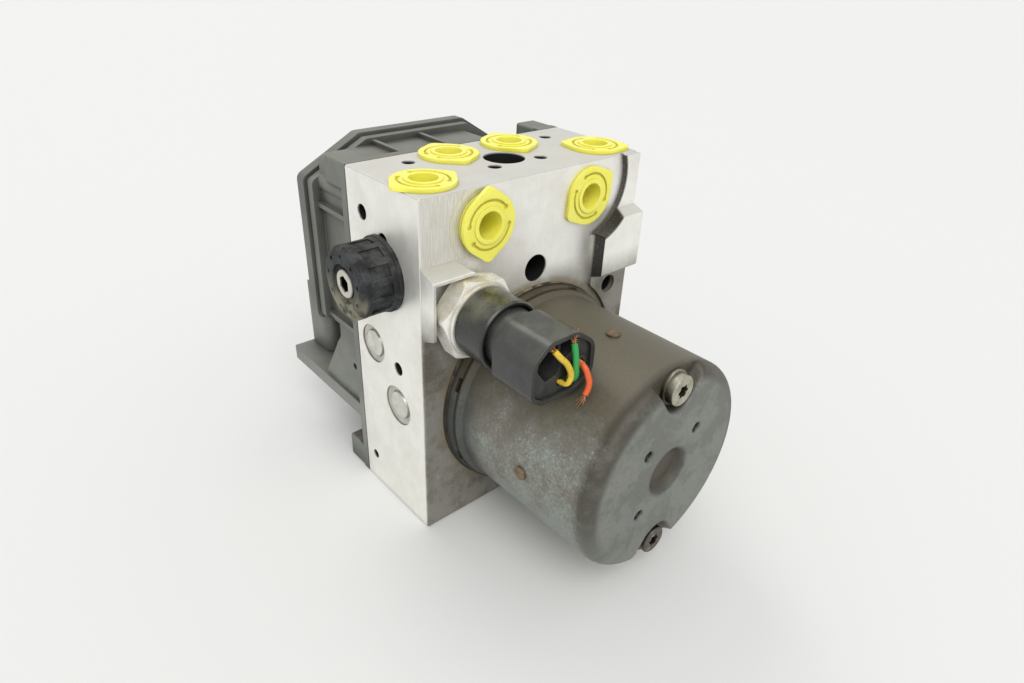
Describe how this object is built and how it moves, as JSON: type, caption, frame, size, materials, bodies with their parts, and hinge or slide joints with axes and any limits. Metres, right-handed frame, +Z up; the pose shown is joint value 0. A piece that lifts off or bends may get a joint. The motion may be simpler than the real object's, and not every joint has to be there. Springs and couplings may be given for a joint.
{
  "type": "brake anti-lock hydraulic unit",
  "caption": "Brake anti-lock unit: milled valve block with a round pump motor, a moulded controller, a pressure sensor with a cut-off plug, plugged pipe ports and a rubber mounting bush.",
  "frame": {"origin": "centre of the valve block's bottom face", "axes": "+X to the right seen from the motor, +Y from the motor to the controller, +Z up"},
  "size_m": [0.1129, 0.1695, 0.13],
  "materials": {
    "milled_aluminium": "milled, dull",
    "pressed_aluminium": "turned",
    "inner_steel": "machined",
    "coil_shell": "satin",
    "housing_plastic": "moulded",
    "cover_plastic": "moulded",
    "seal_rubber": "matt",
    "board_laminate": "satin",
    "pin_brass": "plated",
    "plated_screw": "plated",
    "gasket_rubber": "matt",
    "motor_coating": "matt, weathered",
    "rivet_steel": "tarnished",
    "ferrite": "matt",
    "phenolic_plate": "satin",
    "carbon": "matt",
    "copper_winding": "lacquered",
    "bush_rubber": "matt",
    "bush_face": "zinc plated",
    "sensor_metal": "zinc plated",
    "sensor_plastic": "moulded",
    "plug_plastic": "moulded",
    "insert_plastic": "moulded",
    "yellow_insulation": "smooth",
    "green_insulation": "smooth",
    "orange_insulation": "smooth",
    "yellow_plug": "smooth"
  },
  "bodies": {
    "module": {"valve_block": "milled_aluminium", "pump_plugs": "pressed_aluminium", "damper_plugs": "pressed_aluminium", "accumulator_caps": "pressed_aluminium", "pump_cylinders": "inner_steel", "valve_cartridges": "inner_steel", "front_bearing": "inner_steel", "rear_bearing": "inner_steel", "pump_spring_left": "inner_steel", "pump_spring_right": "inner_steel", "accumulator_spring_left": "inner_steel", "accumulator_spring_right": "inner_steel", "brush_springs": "inner_steel", "solenoid_coils": "coil_shell", "controller_housing": "housing_plastic", "controller_cover": "cover_plastic", "cover_seal": "seal_rubber", "sensor_seal": "seal_rubber", "circuit_board": "board_laminate", "connector_pins": "pin_brass", "controller_screws": "plated_screw", "motor_screws": "plated_screw", "motor_gasket": "gasket_rubber", "motor_flange": "motor_coating", "motor_can": "motor_coating", "can_rivets": "rivet_steel", "motor_magnets": "ferrite", "brush_plate": "phenolic_plate", "carbon_brushes": "carbon", "bush_rubber": "bush_rubber", "bush_stud": "bush_face", "sensor_fitting": "sensor_metal", "sensor_body": "sensor_plastic", "sensor_plug": "plug_plastic", "plug_insert": "insert_plastic", "wire_yellow": "yellow_insulation", "wire_green": "green_insulation", "wire_orange": "orange_insulation", "top_plug_1": "yellow_plug", "top_plug_2": "yellow_plug", "top_plug_3": "yellow_plug", "top_plug_4": "yellow_plug", "front_plug_1": "yellow_plug", "front_plug_2": "yellow_plug"},
    "rotor": {"motor_shaft": "inner_steel", "armature_core": "inner_steel", "armature_winding": "copper_winding", "commutator": "copper_winding", "eccentric": "inner_steel", "eccentric_bearing": "inner_steel"},
    "pump_piston_left": {"pump_piston_left": "inner_steel"},
    "pump_piston_right": {"pump_piston_right": "inner_steel"},
    "accumulator_piston_left": {"accumulator_piston_left": "pressed_aluminium"},
    "accumulator_piston_right": {"accumulator_piston_right": "pressed_aluminium"}
  },
  "joints": [
    {"name": "rotor_spin", "type": "hinge", "parent": "module", "child": "rotor", "pos_m": [0, -0.05, 0.047], "axis": [0, 1, 0], "continuous": true},
    {"name": "pump_stroke_left", "type": "slide", "parent": "module", "child": "pump_piston_left", "axis": [-1, 0, 0], "range_m": [0, 0.002], "stiffness_N_per_m": 500, "springref_m": -0.004, "deforming": ["pump_spring_left"]},
    {"name": "pump_stroke_right", "type": "slide", "parent": "module", "child": "pump_piston_right", "axis": [1, 0, 0], "range_m": [0, 0.002], "stiffness_N_per_m": 500, "springref_m": -0.004, "deforming": ["pump_spring_right"]},
    {"name": "accumulator_travel_left", "type": "slide", "parent": "module", "child": "accumulator_piston_left", "axis": [0, 0, -1], "range_m": [0, 0.01], "stiffness_N_per_m": 300, "springref_m": -0.01, "deforming": ["accumulator_spring_left"]},
    {"name": "accumulator_travel_right", "type": "slide", "parent": "module", "child": "accumulator_piston_right", "axis": [0, 0, -1], "range_m": [0, 0.01], "stiffness_N_per_m": 300, "springref_m": -0.01, "deforming": ["accumulator_spring_right"]}
  ]
}
